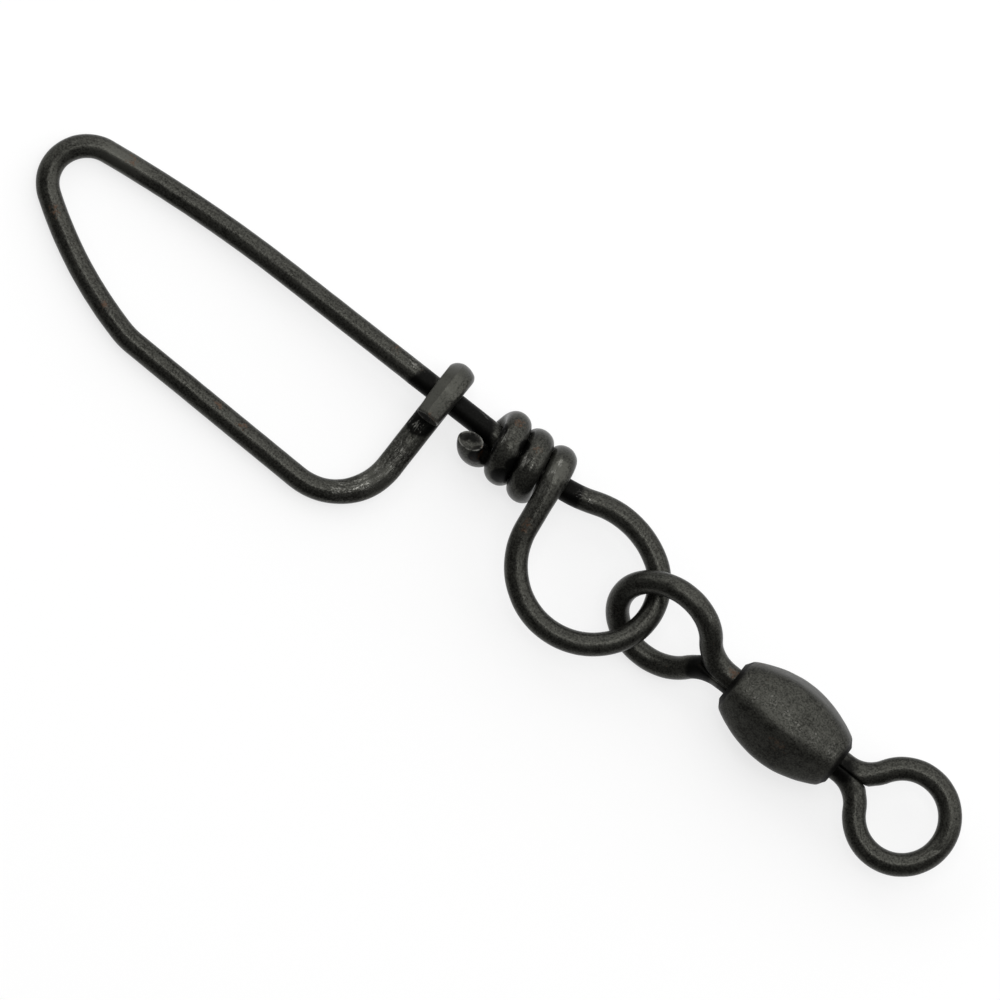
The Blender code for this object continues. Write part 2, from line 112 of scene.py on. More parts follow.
class Bender:
    # walks a wire's middle line through straight runs and bends, flat in plan, in millimetres and degrees
    def __init__(self, place, heading, steps=fineSteps):
        self.place = Vector((place[0], place[1], 0.0))
        self.heading = math.radians(heading)
        self.bendStep, self.runStep = steps
        self.line = [self.place.copy()]

    def run(self, length):
        ahead = Vector((math.cos(self.heading), math.sin(self.heading), 0.0))
        start = self.place.copy()
        count = max(1, math.ceil(length / self.runStep))
        self.line += [start + ahead * (length * index / count) for index in range(1, count + 1)]
        self.place = self.line[-1].copy()

    def runToX(self, x):
        self.run((x - self.place.x) / math.cos(self.heading))

    def runToY(self, y):
        self.run((y - self.place.y) / math.sin(self.heading))

    def bend(self, radius, angle):
        arc = radius * math.radians(abs(angle))
        count = max(1, math.ceil(abs(angle) / self.bendStep), math.ceil(arc / self.runStep))
        left = Vector((-math.sin(self.heading), math.cos(self.heading), 0.0))
        middle = self.place + left * math.copysign(radius, angle)
        spoke = self.place - middle
        for index in range(1, count + 1):
            self.line.append(middle + Matrix.Rotation(math.radians(angle) * index / count, 3, "Z") @ spoke)
        self.place = self.line[-1].copy()
        self.heading += math.radians(angle)

    def bendTo(self, radius, heading):
        self.bend(radius, heading - math.degrees(self.heading))


def distancesAlong(line):
    travelled = [0.0]
    for before, after in zip(line, line[1:]):
        travelled.append(travelled[-1] + (after - before).length)
    return travelled


def lift(line, startHeight, endHeight):
    travelled = distancesAlong(line)
    for point, distance in zip(line, travelled):
        point.z = startHeight + (endHeight - startHeight) * ease(distance / travelled[-1])


def evenedOut(line, values, reach):
    # each value is averaged with its neighbours within reach
    travelled = distancesAlong(line)
    result = []
    for here in travelled:
        weights = [max(0.0, 1 - abs(there - here) / reach) for there in travelled]
        result.append(sum(weight * value for weight, value in zip(weights, values)) / sum(weights))
    return result


def oval(depth, width, angle):
    # the radius of an oval section, whose depth lies along angle 0
    return depth * width / 2 / math.hypot(width * math.cos(angle), depth * math.sin(angle))


# a cut end's profile, from its rim inwards: share of the radius, rise above the cut, and how bare it is worn
cutEnd = {
    "round": 0.07, "lean": 0.3, "rimWear": 0.4,
    "profile": ((0.96, 0.0, 1.0), (0.9, 0.01, 0.9), (0.8, -0.05, 0.15), (0.45, -0.1, 0.0)),
}


def sweepWire(pieceName, line, firstNormal, section, facing=None, sides=96):
    # a skin round the line; each vertex learns its place in the straightened wire, which the streaks follow
    mesh = bmesh.new()
    layer = mesh.verts.layers.float_vector.new("wireRun")
    bareRim = mesh.verts.layers.float.new("bareRim")
    travelled = distancesAlong(line)
    rings = []
    normal = Vector(firstNormal)
    for index, point in enumerate(line):
        tangent = (line[min(index + 1, len(line) - 1)] - line[max(index - 1, 0)]).normalized()
        if facing and facing[index]:
            normal = facing[index]
        normal = (normal - tangent * normal.dot(tangent)).normalized()
        across = tangent.cross(normal)
        ring = []
        for side in range(sides):
            angle = 2 * math.pi * side / sides
            reach = normal * math.cos(angle) + across * math.sin(angle)
            radius = section(index, angle, reach)
            vertex = mesh.verts.new((point + reach * radius) * mm)
            vertex[layer] = Vector((travelled[index], math.cos(angle), math.sin(angle))) * mm
            ring.append(vertex)
        rings.append(ring)
    for near, far in zip(rings, rings[1:]):
        for side in range(sides):
            following = (side + 1) % sides
            mesh.faces.new((near[side], near[following], far[following], far[side]))
    for ring, middle, before in ((rings[0], line[0], line[1]), (rings[-1], line[-1], line[-2])):
        # a cut end is a shallow dish inside a rounded, worn rim
        outward = (middle - before).normalized()
        for vertex in ring:
            # the cutter leaned, so the face shows a little from above
            vertex.co -= outward * cutEnd["lean"] * (vertex.co - middle * mm).z
        corners = [vertex.co.copy() for vertex in ring]
        for vertex in ring:
            vertex.co -= outward * cutEnd["round"] * mm
            vertex[bareRim] = cutEnd["rimWear"]
        for share, rise, bare in cutEnd["profile"]:
            inner = []
            for corner, outer in zip(corners, ring):
                vertex = mesh.verts.new(middle * mm + (corner - middle * mm) * share + outward * rise * mm)
                vertex[layer] = outer[layer]
                vertex[bareRim] = bare
                inner.append(vertex)
            for side in range(sides):
                following = (side + 1) % sides
                mesh.faces.new((ring[side], ring[following], inner[following], inner[side]))
            ring = inner
        mesh.faces.new(ring)
    bmesh.ops.recalc_face_normals(mesh, faces=mesh.faces)
    data = bpy.data.meshes.new(pieceName)
    mesh.to_mesh(data)
    mesh.free()
    piece = bpy.data.objects.new(pieceName, data)
    bpy.context.collection.objects.link(piece)
    return piece


def waver(piece, textureName, size, strength):
    # bent wire and a swaged shell are never quite even
    texture = bpy.data.textures.new(textureName, "CLOUDS")
    texture.noise_scale = size
    texture.noise_depth = 2
    applyModifier(piece, "DISPLACE", {
        "texture": texture, "texture_coords": "LOCAL", "strength": strength * mm, "mid_level": 0.5,
    })


def press(piece, marks):
    # plier and cutter marks, deepest along the line from start to end and gone at the radius
    normals = [vertex.normal.copy() for vertex in piece.data.vertices]
    for start, end, radius, depth in marks:
        start = Vector(start) * mm
        run = Vector(end) * mm - start
        reach = radius * mm
        for vertex, normal in zip(piece.data.vertices, normals):
            if (vertex.co - start).length > run.length + reach:
                continue
            share = 0.0
            if run.length > 0:
                share = min(1.0, max(0.0, (vertex.co - start).dot(run) / run.length_squared))
            away = (vertex.co - start - run * share).length / reach
            if away < 1:
                vertex.co -= normal * (depth * mm * (1 - away ** 2) ** 2)


def dress(piece, material, node, body):
    piece.data.materials.append(material)
    selectOnly(piece)
    bpy.ops.object.shade_smooth_by_angle(angle=math.radians(skin["smoothAngle"]))
    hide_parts(node)
    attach(piece, body)
    print("made", piece.name, len(piece.data.polygons), "faces")


# small helpers for materials

class Signal:
    # one output socket, which Python's own operators carry on into Math nodes
    def __init__(self, finish, socket):
        self.finish = finish
        self.socket = socket

    def __add__(self, other):
        return self.finish.maths("ADD", self, other)

    def __radd__(self, other):
        return self.finish.maths("ADD", other, self)

    def __sub__(self, other):
        return self.finish.maths("SUBTRACT", self, other)

    def __rsub__(self, other):
        return self.finish.maths("SUBTRACT", other, self)

    def __mul__(self, other):
        return self.finish.maths("MULTIPLY", self, other)

    def __rmul__(self, other):
        return self.finish.maths("MULTIPLY", other, self)


class Finish:
    def __init__(self, name):
        self.material = bpy.data.materials.new(name)
        self.material.use_nodes = True
        self.tree = self.material.node_tree
        self.shader = self.tree.nodes["Principled BSDF"]

    def feed(self, socket, value):
        if isinstance(value, Signal):
            self.tree.links.new(value.socket, socket)
        else:
            socket.default_value = value

    def node(self, kind, settings, inputs, output=0):
        made = self.tree.nodes.new(kind)
        for name, value in settings.items():
            setattr(made, name, value)
        for name, value in inputs.items():
            self.feed(made.inputs[name], value)
        return Signal(self, made.outputs[output])

    def maths(self, operation, first, second):
        return self.node("ShaderNodeMath", {"operation": operation}, {0: first, 1: second})

    def ramp(self, signal, low, high):
        # 0 below low, 1 above high, and smooth between them
        return self.node("ShaderNodeMapRange", {"interpolation_type": "SMOOTHSTEP"}, {
            "Value": signal, "From Min": low, "From Max": high,
        })

    def noise(self, place, scale, detail, roughness, distortion=0.0):
        return self.node("ShaderNodeTexNoise", {"noise_dimensions": "3D"}, {
            "Vector": place, "Scale": scale, "Detail": detail, "Roughness": roughness,
            "Distortion": distortion,
        })

    def stretched(self, place, scale):
        return self.node("ShaderNodeMapping", {"vector_type": "POINT"}, {"Vector": place, "Scale": scale})

    def mixed(self, share, first, second):
        # the Mix node's sockets for colour are inputs 6 and 7 and output 2
        return self.node("ShaderNodeMix", {"data_type": "RGBA", "blend_type": "MIX"}, {
            0: share, 6: first, 7: second,
        }, output=2)

    def near(self, place, spots, edge=1.0):
        # 1 at each spot's middle and 0 past its radius; edge is the share of the radius over which it fades
        total = None
        for x, y, z, radius in spots:
            away = self.node("ShaderNodeVectorMath", {"operation": "DISTANCE"}, {
                0: place, 1: (x * mm, y * mm, z * mm),
            }, output="Value")
            here = self.ramp(away, radius * mm, radius * mm * (1 - edge))
            total = here if total is None else self.maths("MAXIMUM", total, here)
        return total


def blackOxide(name, look):
    # dull black oxide over steel: mottled and grainy, with drawing lines, rubbed grey flecks, rust specks and
    # near-black painted shade where parts meet
    finish = Finish(name)
    place = finish.node("ShaderNodeTexCoord", {}, {}, output="Object")
    run = place
    if look["followsWire"]:
        run = finish.node("ShaderNodeAttribute", {"attribute_name": "wireRun"}, {}, output="Vector")
    blotches = finish.noise(place, *look["blotchNoise"])
    mottle = finish.noise(place, *look["mottleNoise"])
    grain = finish.noise(place, *look["grainNoise"])
    lines = finish.noise(finish.stretched(run, look["lineStretch"]), *look["lineNoise"])
    flecks = finish.noise(finish.stretched(run, look["fleckStretch"]), *look["fleckNoise"])

    tone = 0.5 + (blotches - 0.5) * look["blotchDepth"] + (mottle - 0.5) * look["mottleDepth"]
    tone = tone + (grain - 0.5) * look["grainDepth"] + (lines - 0.5) * look["lineDepth"]
    if look["paleSpots"]:
        tone = tone + finish.near(place, look["paleSpots"]) * look["paleLift"]
    colour = finish.mixed(finish.ramp(tone, 0.0, 1.0), look["darkColour"], look["lightColour"])
    # painted shade: the colour goes near black round the listed spots, in crevices, under the hook and where parts
    # meet, where shade falls
    paintedShade = finish.near(place, look["paintedShadeSpots"], look["paintedShadeEdge"]) + (mottle - 0.5) * look["paintedShadeMottle"]
    paintedShade = finish.ramp(paintedShade, *look["paintedShadeRange"]) * look["paintedShadeShare"]
    colour = finish.mixed(paintedShade, colour, look["paintedShadeColour"])

    fleckLevel = flecks + (grain - 0.5) * look["fleckGrain"]
    fleckLevel = fleckLevel + finish.near(place, look["rubbedSpots"]) * look["rubbedLift"]
    rubbed = finish.ramp(fleckLevel, *look["rubbedRange"])
    if look["followsWire"]:
        bareRim = finish.node("ShaderNodeAttribute", {"attribute_name": "bareRim"}, {}, output="Fac")
        rubbed = finish.maths("MAXIMUM", rubbed, bareRim * finish.ramp(mottle, *look["rimMottle"]))
    colour = finish.mixed(rubbed * look["rubbedShare"], colour, look["rubbedColour"])

    rustLevel = finish.noise(place, *look["rustNoise"])
    if look["rustSpots"]:
        rustLevel = rustLevel + finish.near(place, look["rustSpots"]) * look["rustLift"]
    rust = finish.ramp(rustLevel, *look["rustRange"])
    colour = finish.mixed(rust * look["rustShare"], colour, look["rustColour"])
    finish.feed(finish.shader.inputs["Base Color"], colour)

    change = look["roughnessChange"]
    roughness = look["roughness"] + (blotches - 0.5) * change["blotches"]
    roughness = roughness + (mottle - 0.5) * change["mottle"] + (lines - 0.5) * change["lines"]
    roughness = roughness + rust * change["rust"] + paintedShade * change["paintedShade"] + rubbed * change["rubbed"]
    finish.feed(finish.shader.inputs["Roughness"], roughness)
    change = look["metallicChange"]
    metallic = look["metallic"] + rust * change["rust"] + rubbed * change["rubbed"]
    finish.feed(finish.shader.inputs["Metallic"], metallic)
    finish.feed(finish.shader.inputs["Specular IOR Level"], look["specularLevel"])
    rise = look["rise"]
    height = grain * rise["grain"] + mottle * rise["mottle"] + lines * rise["lines"]
    height = height + rubbed * rise["rubbed"] + rust * rise["rust"]
    bump = finish.node("ShaderNodeBump", {}, {
        "Strength": look["bumpStrength"], "Distance": look["bumpDistance"] * mm, "Height": height,
    })
    finish.feed(finish.shader.inputs["Normal"], bump)
    return finish.material


# bent snap wire

# a spot is its place and radius in millimetres, and a noise is its scale, detail, roughness and distortion;
# the other looks start from this one
snapLook = {
    "followsWire": True,
    "darkColour": (0.01, 0.0098, 0.0084, 1.0),
    "lightColour": (0.054, 0.054, 0.047, 1.0),
    "rubbedColour": (0.17, 0.168, 0.155, 1.0),
    "rustColour": (0.1, 0.046, 0.022, 1.0),
    "blotchNoise": (480.0, 3.0, 0.6), "blotchDepth": 0.4,
    "mottleNoise": (2000.0, 3.0, 0.65), "mottleDepth": 0.45,
    "grainNoise": (6200.0, 2.0, 0.7), "grainDepth": 1.9,
    "lineNoise": (1.0, 3.0, 0.6), "lineStretch": (60.0, 3600.0, 3600.0), "lineDepth": 0.6,
    "fleckNoise": (1.0, 3.0, 0.7, 0.3), "fleckStretch": (1500.0, 6000.0, 6000.0),
    "rubbedRange": (0.7, 0.88), "rubbedShare": 0.62, "rubbedLift": 0.24, "fleckGrain": 0.3,
    "rimMottle": (0.35, 0.6),
    "rubbedSpots": [
        (-10.8, -6.4, 2.1, 2.6), (-9.7, -4.6, 2.1, 3.0), (-9.2, -2.6, 2.0, 3.0), (-9.1, -0.6, 2.0, 2.8),
        (-9.3, 1.9, 2.0, 1.4), (-12.6, 6.0, 3.7, 1.7), (-5.3, 6.3, 3.7, 1.2), (4.9, 6.0, 4.1, 1.0),
        (6.0, 5.9, 4.2, 1.0), (-3.0, 5.7, 5.9, 1.4), (-0.4, 5.2, 6.1, 1.9), (2.0, 6.9, 5.8, 0.9),
        (1.8, 6.0, 5.9, 1.2), (2.1, 4.5, 6.1, 1.6), (-3.4, 3.2, 3.6, 1.2),
    ],
    "paleSpots": [
        (-9.6, 4.2, 5.8, 2.2), (-9.7, 6.0, 5.8, 2.2), (-9.6, 7.6, 5.0, 1.8), (-9.2, -3.4, 2.0, 2.4),
        (2.1, 6.4, 6.0, 1.8), (-42.2, 3.6, 2.0, 3.4), (-43.8, 0.4, 2.0, 3.0),
    ],
    "paleLift": 0.6,
    # painted shade: near-black spots where the hook, the wraps and the crossing shade the wire, under the hook's
    # tip and in the crevices between wraps
    "paintedShadeSpots": [
        (-9.2, 2.6, 2.0, 1.8), (-6.9, 4.9, 3.2, 2.5), (-5.2, 4.7, 3.2, 2.4), (-10.9, 5.0, 3.2, 1.9),
        (3.6, 5.2, 3.4, 2.5), (-1.15, 3.2, 4.9, 1.3), (-1.15, 4.5, 5.3, 1.15), (-1.15, 6.0, 5.3, 1.0),
        (-3.5, 3.2, 4.9, 1.3), (-3.5, 4.5, 5.3, 1.15), (-3.5, 6.0, 5.3, 1.0), (-5.9, 4.2, 4.4, 1.3),
        (-9.2, 3.3, 4.6, 0.9), (-9.9, 3.3, 4.6, 0.9),
    ],
    "paintedShadeColour": (0.0018, 0.0018, 0.0016, 1.0), "paintedShadeShare": 0.95, "paintedShadeEdge": 0.5,
    "paintedShadeMottle": 0.7, "paintedShadeRange": (0.2, 0.75),
    "rustNoise": (2600.0, 3.0, 0.75), "rustShare": 0.45, "rustLift": 0.25, "rustRange": (0.66, 0.86),
    "rustSpots": [
        (-41.5, 4.9, 1.9, 1.2), (-44.0, -2.5, 2.0, 1.2), (-35.9, -6.2, 2.0, 0.9), (-23.3, -6.8, 1.9, 0.9),
        (-20.6, -6.9, 2.0, 0.9), (-14.5, 6.1, 3.6, 1.1), (-2.6, 7.5, 5.2, 1.3), (-0.2, 6.6, 5.9, 1.0),
        (3.0, 1.1, 6.2, 1.3), (-3.9, 3.4, 4.2, 1.5), (-8.8, 3.2, 5.8, 0.9),
    ],
    "roughness": 0.32, "metallic": 0.72, "specularLevel": 0.1,
    "roughnessChange": {
        "blotches": 0.15, "mottle": 0.2, "lines": 0.15, "rust": 0.2, "paintedShade": 0.2, "rubbed": -0.06,
    },
    "metallicChange": {"rust": -0.3, "rubbed": 0.3},
    "rise": {"grain": 0.7, "mottle": 0.4, "lines": 0.4, "rubbed": -0.3, "rust": 0.3},
    "bumpStrength": 0.55, "bumpDistance": 0.02,
}

# pressed marks: a start, an end, a radius and a depth, in millimetres
snapMarks = [
    ((-3.4, 5.0, 5.9), (-2.8, 6.2, 5.9), 0.55, 0.05), ((-0.7, 4.7, 6.1), (-0.2, 5.6, 6.1), 0.5, 0.05),
    ((1.9, 4.2, 6.1), (2.0, 5.4, 6.0), 0.45, 0.05), ((2.1, 6.2, 5.9), (2.1, 6.6, 5.8), 0.3, 0.04),
    ((-9.5, 2.2, 2.0), (-9.2, 1.9, 2.0), 0.3, 0.06), ((-9.0, 1.3, 2.0), (-9.1, 0.9, 2.0), 0.28, 0.05),
    ((-9.7, 0.3, 2.0), (-9.5, -0.4, 2.0), 0.3, 0.05), ((-9.6, 5.3, 5.8), (-9.5, 5.6, 5.8), 0.25, 0.05),
    ((-9.9, 6.8, 5.5), (-9.7, 7.0, 5.5), 0.25, 0.05), ((-5.6, 3.0, 3.2), (-5.2, 2.9, 3.4), 0.4, 0.08),
    ((-6.0, 3.3, 3.0), (-6.0, 3.0, 3.2), 0.35, 0.07), ((-16.2, 5.0, 3.3), (-15.6, 5.0, 3.3), 0.25, 0.04),
]

snapWire = {
    "wire": 2.0, "strandGap": 0.06, "length": 38.6, "legOffset": 3.9,
    "legBow": (134.0, 7.9), "endTop": (3.42, 68.8), "endLow": (3.0, 69.0),
    "sideBow": (36.1, 20.5), "kink": (7.3, 12.6), "frontBend": 5.4,
    "armWidth": 2.28, "hookWidth": 2.42, "hookThickness": 1.8, "tipWidth": 2.0, "tipLength": 2.3,
    "hookPlay": 0.33, "coinDepth": 0.14, "coinLength": 4.6, "coinFade": 1.8,
    "flatTilt": 9.0, "bevelTilt": -36.0, "ridgeAngle": -22.5, "pressBlend": 2.6,
    "loopLead": (11.6, 20.7), "loopTop": (7.87, 53.0), "loopSide": (5.12, 92.7), "loopBack": 6.44,
    "crossingLean": 7.5, "wrapPitch": 2.36, "wrapTurns": 2.895, "wrapWidth": 2.28, "wrapThickness": 1.9,
    "wrapPlay": 0.23, "wrapSag": 0.15, "wrapsToHook": 11.55,
    "tailFlare": 0.7, "tailFlareAngle": 90.0,
    "dieLines": ((-7.0, 5.0, 0.08), (22.0, 5.0, 0.06), (37.0, 6.0, 0.05)), "dieLineReach": 9.0,
    "solidSteps": (12.0, 2.6), "hookStep": 5.0, "tipSteps": 6, "wrapStep": 5.0,
    "armFromHeading": 405.0, "armHeading": 450.0,
    "waverStrength": 0.035, "waverSize": 0.0016,
}


def loopLine(steps):
    bender = Bender((0.0, snapWire["legOffset"]), 0.0, steps)
    radius, angle = snapWire["loopLead"]
    bender.bend(radius, angle)
    for radius, angle in (snapWire["loopTop"], snapWire["loopSide"]):
        bender.bend(radius, -angle)
    bender.bendTo(snapWire["loopBack"], snapWire["crossingLean"] - 270)
    bender.runToY(snapWire["legOffset"])
    return bender.line


def makeSnapWire(linkPlace):
    size = snapWire
    wireR = size["wire"] / 2
    hookR = wireR + size["strandGap"] + size["hookThickness"] / 2
    wrapR = wireR + size["wrapPlay"] + size["wrapThickness"] / 2
    legHeight = wrapR + size["wrapThickness"] / 2
    legY = size["legOffset"]

    # the swivel's eye hangs at the outermost point of the solid's loop, which has coarser steps
    link = max(loopLine(size["solidSteps"]), key=lambda point: point.x)
    loop = loopLine(fineSteps)
    lift(loop, legHeight, legHeight + wrapR)
    crossingX = loop[-1].x
    hookX = crossingX - size["wrapsToHook"]

    # round the closed end, along the kinked side and up the arm
    bender = Bender((0.0, legY), 180.0)
    bender.bend(*size["legBow"])
    bowPoints = len(bender.line)
    bender.bend(*size["endTop"])
    bender.bend(*size["endLow"])
    closedX = min(point.x for point in bender.line) - wireR
    bender.bend(*size["sideBow"])
    bender.bend(*size["kink"])
    bender.runToX(closedX + size["length"] - size["frontBend"] * (1 - math.sin(bender.heading)))
    bender.bendTo(size["frontBend"], size["armFromHeading"])
    straightPoints = len(bender.line)
    bender.bendTo(size["frontBend"], size["armHeading"])
    bender.runToY(legY + size["hookPlay"])
    shift = Vector((hookX - bender.place.x, 0.0, 0.0))
    side = [point + shift for point in bender.line]

    leg = Bender((hookX, legY), 180.0)
    leg.run(hookX - side[0].x)
    falling = leg.line + side[1:bowPoints]
    lift(falling, legHeight, wireR)
    resting = side[bowPoints:]
    lift(resting, wireR, legHeight - hookR)
    core = Bender((hookX, legY), 0.0)
    core.run(crossingX - hookX)
    lift(core.line, legHeight, legHeight)

    # the hook goes under the leg, round its far side and back over it
    hook = []
    for index in range(1, round(180 / size["hookStep"]) + 1):
        angle = math.radians(size["hookStep"] * index - 90.0)
        hook.append(Vector((hookX, legY + size["hookPlay"] + hookR * math.cos(angle),
                            legHeight + hookR * math.sin(angle))))
    toTip = size["hookPlay"] + size["tipLength"]
    tipSteps = size["tipSteps"]
    hook += [hook[-1] + Vector((0.0, -toTip * index / tipSteps, 0.0)) for index in range(1, tipSteps + 1)]

    # the wraps wind away from the loop to the tail
    wraps = []
    inward = []
    count = round(size["wrapTurns"] * 360 / size["wrapStep"])
    for index in range(1, count + 1):
        turned = index * size["wrapStep"]
        flare = size["tailFlare"] * ease((turned - size["wrapTurns"] * 360) / size["tailFlareAngle"] + 1)
        radial = Vector((0.0, math.sin(math.radians(turned)), math.cos(math.radians(turned))))
        middle = Vector((crossingX - size["wrapPitch"] * turned / 360 - flare,
                         legY - size["wrapSag"] * ease(turned / 180), legHeight))
        wraps.append(middle + radial * wrapR)
        inward.append(-radial)

    armPoints = len(side) - straightPoints
    roundPoints = len(falling) + len(resting) - armPoints + len(core.line) + len(loop) - 3
    wire = size["wire"]
    widths = [size["tipWidth"]] * 3 + [size["hookWidth"]] * (len(hook) - 3) + [size["armWidth"]] * armPoints
    widths += [wire] * roundPoints + [size["wrapWidth"]] * (len(wraps) + 1)
    depths = [size["hookThickness"]] * len(hook) + [wire ** 2 / size["armWidth"]] * armPoints
    depths += [wire] * roundPoints + [size["wrapThickness"]] * (len(wraps) + 1)
    line = (falling + resting + hook)[::-1] + core.line[1:] + loop[1:] + wraps
    facing = [None] * (len(line) - len(wraps)) + inward
    widths = evenedOut(line, widths, size["pressBlend"])
    depths = evenedOut(line, depths, size["pressBlend"])
    travelled = distancesAlong(line)
    place = Vector((linkPlace.x / mm - link.x, linkPlace.y / mm - link.y, 0.0))
    line = [point + place for point in line]

    closedEnd = travelled[min(range(len(line)), key=lambda index: line[index].x)]

    def section(index, angle, reach):
        radius = oval(depths[index], widths[index], angle)
        signed = angle - 2 * math.pi if angle > math.pi else angle
        # the bending pins drew lines round the closed end
        drawn = 1 - ease(abs(travelled[index] - closedEnd) / size["dieLineReach"])
        if drawn > 0:
            for lineAngle, lineWidth, lineDepth in size["dieLines"]:
                away = (math.degrees(signed) - lineAngle) / lineWidth
                radius -= lineDepth * drawn * math.exp(-away ** 2)
        # the tip is coined to a flat and a bevel that meet at a ridge
        held = 1 - ease((travelled[index] - size["coinLength"]) / size["coinFade"])
        if held == 0:
            return radius
        ridge = math.radians(size["ridgeAngle"])
        tilt = math.radians(size["flatTilt"] if signed >= ridge - 1e-6 else size["bevelTilt"])
        across = math.cos(signed - tilt)
        if across <= 0:
            return radius
        top = (depths[index] - size["coinDepth"]) / 2 * math.cos(ridge - tilt) / across
        return radius + (min(radius, top) - radius) * held

    return sweepWire("bentSnapWire", line, (0.0, 0.0, 1.0), section, facing)


print("bending the snap wire")
joints = {joint["name"]: Vector(joint["pos_m"]) for joint in frame["joints"]}
bentSnap = makeSnapWire(joints["link_hinge"])
waver(bentSnap, "snapWaver", snapWire["waverSize"], snapWire["waverStrength"])
press(bentSnap, snapMarks)
dress(bentSnap, blackOxide("snapBlackOxide", snapLook), "snap_wire", "snap")


# swivel eyes

# legGap is below zero: the pressed legs overlap by that much, so that no light shows between them
eyeSizes = {
    "wire": 2.0, "neckRadius": 3.4, "neckBlend": 0.9, "shankWidth": 2.69, "shankThickness": 2.27,
    "legGap": -0.06, "edgeSharpness": 6, "headD": 4.0, "headLand": 0.8, "headCrown": 0.5, "headRootD": 2.0,
    "seatAngle": 40.0, "headSides": 48, "endPlay": 0.4, "waverStrength": 0.03, "waverSize": 0.0014,
}
snapEye = {
    "piece": "snapSideRing", "node": "snap_side_eye", "body": "snap_eye",
    "insideD": 6.6, "shankLength": 1.5, "lean": -0.3, "tilt": -44.4, "turn": 180.0,
    "marks": [((19.8, 4.5, 7.6), (20.0, 4.4, 7.5), 0.3, 0.05), ((20.8, 3.9, 7.1), (21.0, 3.6, 6.9), 0.3, 0.05)],
}
lineEye = {
    "piece": "lineSideRing", "node": "line_side_eye", "body": "line_eye",
    "insideD": 6.0, "shankLength": 1.7, "lean": -0.14, "tilt": 0.0, "turn": 0.0,
    "marks": [((46.3, 0.5, 5.0), (46.6, 1.0, 5.0), 0.35, 0.05), ((46.1, -0.2, 5.0), (46.2, 0.0, 5.0), 0.25, 0.04)],
}

eyeLook = dict(snapLook)
eyeLook.update({
    "rubbedSpots": [], "paleSpots": [], "rustSpots": [], "paintedShadeSpots": [],
    "rubbedLift": 0.16,
})
snapEyeLook = dict(eyeLook)
snapEyeLook.update({
    "rubbedSpots": [(17.6, 4.8, 8.2, 1.2), (19.9, 4.5, 7.6, 1.5), (20.8, 3.9, 7.1, 1.6), (22.6, 2.2, 5.5, 1.0)],
    # painted shade on the shank where it goes into the barrel's mouth
    "paintedShadeSpots": [(21.8, 0.6, 4.0, 2.2), (24.6, 0.4, 3.6, 2.2)],
    "paintedShadeEdge": 0.8,
    "rustSpots": [(24.4, 2.3, 5.4, 1.6)],
})
lineEyeLook = dict(eyeLook)
lineEyeLook.update({
    # painted shade on the shank where it goes into the barrel's mouth
    "rubbedSpots": [(46.5, 0.8, 5.0, 1.6)], "paintedShadeSpots": [(36.4, 1.4, 4.6, 2.2)], "paintedShadeEdge": 1.0,
})


